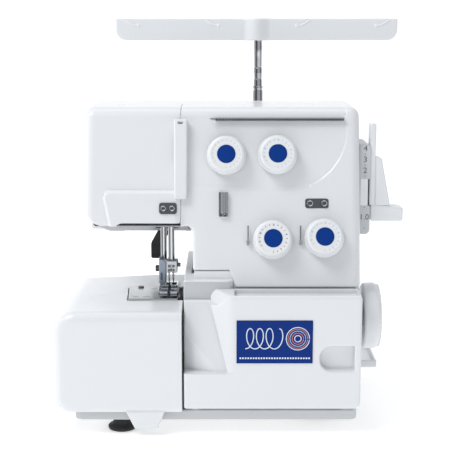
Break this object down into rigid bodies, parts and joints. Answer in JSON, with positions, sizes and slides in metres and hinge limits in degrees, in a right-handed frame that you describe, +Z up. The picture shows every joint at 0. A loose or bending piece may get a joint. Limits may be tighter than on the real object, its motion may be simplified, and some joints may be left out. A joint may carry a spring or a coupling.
{
  "type": "serger overlock machine",
  "caption": "Free-standing overlock sewing machine with opening covers, tension dials, knives, loopers and a telescopic thread guide.",
  "frame": {"origin": "middle of the overall box, on the table surface", "axes": "+X to the right of the person sewing, +Y away from them, +Z up"},
  "size_m": [0.34, 0.2708, 0.381],
  "materials": {
    "white_plastic": "glossy moulded plastic, white",
    "dial_plastic": "glossy moulded plastic, white",
    "grey_plastic": "satin moulded plastic, light grey",
    "blue_plastic": "printed blue disc",
    "blue_label": "printed blue label",
    "black_rubber": "soft rubber",
    "black_plastic": "satin black plastic",
    "cast_frame": "cast, satin",
    "bronze": "sintered bronze",
    "sheet_metal": "brushed",
    "chrome": "polished",
    "dark_steel": "dark, burnished",
    "shaft_steel": "ground steel",
    "pulley_steel": "black zinc",
    "belt_rubber": "toothless drive belt"
  },
  "bodies": {
    "machine": {"base_tray": "grey_plastic", "rubber_feet": "black_rubber", "main_frame": "cast_frame", "tension_plate": "sheet_metal", "bushings": "bronze", "front_cover": "white_plastic", "face_cover": "white_plastic", "rear_cover": "white_plastic", "side_cover": "white_plastic", "bed_cover": "white_plastic", "thread_bar_cover": "white_plastic", "cover_screws": "dark_steel", "needle_plate": "sheet_metal", "plate_screws": "dark_steel", "lever_housing": "grey_plastic", "motor": "pulley_steel", "drive_belt": "belt_rubber", "lower_knife": "dark_steel", "tension_posts": "chrome", "tension_discs": "sheet_metal", "thread_guide_strip": "sheet_metal", "panel_thread_guides": "sheet_metal", "arm_thread_guide": "dark_steel", "lower_rod": "chrome", "spool_stand": "white_plastic", "spool_pins": "white_plastic", "power_inlet": "black_plastic"},
    "door_pin": {"hinge_rod": "dark_steel"},
    "looper_door": {"looper_cover": "white_plastic", "front_badge": "blue_label"},
    "cloth_plate": {"cloth_plate_cover": "white_plastic"},
    "stitch_lever": {"stitch_length_lever": "white_plastic"},
    "feed_lever": {"differential_lever": "white_plastic"},
    "drive_shaft": {"main_shaft": "shaft_steel", "shaft_pulley": "pulley_steel", "handwheel": "white_plastic"},
    "motor_rotor": {"motor_pulley": "pulley_steel"},
    "needle_carrier": {"needle_bar": "chrome", "needle_clamp": "dark_steel", "needles": "chrome"},
    "take_up": {"take_up_lever": "chrome"},
    "upper_looper_arm": {"upper_looper": "chrome"},
    "lower_looper_arm": {"lower_looper": "chrome"},
    "knife_arm": {"upper_knife": "dark_steel"},
    "main_feed": {"main_feed_dog": "dark_steel"},
    "differential_feed": {"differential_feed_dog": "dark_steel"},
    "presser": {"presser_bar": "chrome", "presser_foot": "chrome"},
    "lifter": {"presser_lifter": "black_plastic"},
    "dial_1": {"tension_dial_1": "dial_plastic", "dial_cap_1": "blue_plastic"},
    "dial_2": {"tension_dial_2": "dial_plastic", "dial_cap_2": "blue_plastic"},
    "dial_3": {"tension_dial_3": "dial_plastic", "dial_cap_3": "blue_plastic"},
    "dial_4": {"tension_dial_4": "dial_plastic", "dial_cap_4": "blue_plastic"},
    "mast": {"upper_rod": "chrome"},
    "guide_bar": {"thread_guide_bar": "white_plastic"},
    "switch_rocker": {"power_switch": "black_plastic"}
  },
  "joints": [
    {"name": "looper_cover_slide", "type": "slide", "parent": "machine", "child": "door_pin", "axis": [1, 0, 0], "range_m": [0, 0.0045]},
    {"name": "looper_cover_swing", "type": "hinge", "parent": "door_pin", "child": "looper_door", "pos_m": [-0.011, -0.1301, 0.0295], "axis": [1, 0, 0], "range_deg": [0, 88]},
    {"name": "cloth_plate_slide", "type": "slide", "parent": "machine", "child": "cloth_plate", "axis": [-1, 0, 0], "range_m": [0, 0.04]},
    {"name": "stitch_length_swing", "type": "hinge", "parent": "machine", "child": "stitch_lever", "pos_m": [0.116, -0.0226, 0.228], "axis": [1, 0, 0], "range_deg": [-7, 7]},
    {"name": "differential_swing", "type": "hinge", "parent": "machine", "child": "feed_lever", "pos_m": [0.116, -0.0226, 0.2], "axis": [1, 0, 0], "range_deg": [-7, 7]},
    {"name": "handwheel_turn", "type": "hinge", "parent": "machine", "child": "drive_shaft", "pos_m": [0.121, -0.0686, 0.0987], "axis": [1, 0, 0], "continuous": true},
    {"name": "motor_turn", "type": "hinge", "parent": "machine", "child": "motor_rotor", "pos_m": [0.085, -0.0106, 0.063], "axis": [1, 0, 0], "continuous": true},
    {"name": "needle_bar_stroke", "type": "slide", "parent": "machine", "child": "needle_carrier", "axis": [0, 0, -1], "range_m": [-0.018, 0.005]},
    {"name": "take_up_swing", "type": "hinge", "parent": "machine", "child": "take_up", "pos_m": [-0.0525, -0.0386, 0.25], "axis": [1, 0, 0], "range_deg": [-16.55, 4.63]},
    {"name": "knife_swing", "type": "hinge", "parent": "machine", "child": "knife_arm", "pos_m": [-0.0542, -0.0446, 0.104], "axis": [1, 0, 0], "range_deg": [-5.21, 1.48]},
    {"name": "lower_looper_swing", "type": "hinge", "parent": "machine", "child": "lower_looper_arm", "pos_m": [-0.083, -0.0586, 0.052], "axis": [0, 1, 0], "range_deg": [-10.36, 2.92]},
    {"name": "upper_looper_swing", "type": "hinge", "parent": "machine", "child": "upper_looper_arm", "pos_m": [-0.061, -0.0686, 0.072], "axis": [0, 1, 0], "range_deg": [-2.34, 8.3]},
    {"name": "main_feed_slide", "type": "slide", "parent": "machine", "child": "main_feed", "axis": [0, 1, 0], "range_m": [-0.00149, 0.00045]},
    {"name": "differential_feed_slide", "type": "slide", "parent": "machine", "child": "differential_feed", "axis": [0, 1, 0], "range_m": [-0.00149, 0.00045]},
    {"name": "presser_bar_lift", "type": "slide", "parent": "machine", "child": "presser", "axis": [0, 0, 1], "range_m": [0, 0.005]},
    {"name": "presser_lifter_swing", "type": "hinge", "parent": "machine", "child": "lifter", "pos_m": [-0.061, 0.0124, 0.186], "axis": [0, 1, 0], "range_deg": [-0.05, 35.05]},
    {"name": "tension_dial_1_turn", "type": "hinge", "parent": "machine", "child": "dial_1", "pos_m": [-0.0098, -0.07378, 0.2546], "axis": [0, -0.9703, 0.2419], "range_deg": [-150, 150]},
    {"name": "tension_dial_2_turn", "type": "hinge", "parent": "machine", "child": "dial_2", "pos_m": [0.0381, -0.07366, 0.2551], "axis": [0, -0.9703, 0.2419], "range_deg": [-150, 150]},
    {"name": "tension_dial_3_turn", "type": "hinge", "parent": "machine", "child": "dial_3", "pos_m": [0.0336, -0.093, 0.1775], "axis": [0, -0.9455, 0.3256], "range_deg": [-150, 150]},
    {"name": "tension_dial_4_turn", "type": "hinge", "parent": "machine", "child": "dial_4", "pos_m": [0.0814, -0.09263, 0.179], "axis": [0, -0.9455, 0.3256], "range_deg": [-150, 150]},
    {"name": "mast_telescope", "type": "slide", "parent": "machine", "child": "mast", "axis": [0, 0, 1], "range_m": [-0.045, 0]},
    {"name": "guide_bar_swivel", "type": "hinge", "parent": "mast", "child": "guide_bar", "pos_m": [0.024, 0.0804, 0.3695], "axis": [0, 0, 1], "range_deg": [0, 90]},
    {"name": "power_switch_rock", "type": "hinge", "parent": "machine", "child": "switch_rocker", "pos_m": [0.112, 0.0004, 0.086], "axis": [0, 1, 0], "range_deg": [-6, 6]}
  ],
  "couplings": [
    {"joint": "motor_turn", "follows": "handwheel_turn", "ratio": 3.5},
    {"joint": "take_up_swing", "follows": "needle_bar_stroke", "rad_per_m": 16},
    {"joint": "knife_swing", "follows": "needle_bar_stroke", "rad_per_m": 5},
    {"joint": "lower_looper_swing", "follows": "needle_bar_stroke", "rad_per_m": 10},
    {"joint": "upper_looper_swing", "follows": "needle_bar_stroke", "rad_per_m": -8},
    {"joint": "main_feed_slide", "follows": "needle_bar_stroke", "ratio": 0.08},
    {"joint": "differential_feed_slide", "follows": "needle_bar_stroke", "ratio": 0.08},
    {"joint": "presser_lifter_swing", "follows": "presser_bar_lift", "rad_per_m": 122.17}
  ]
}
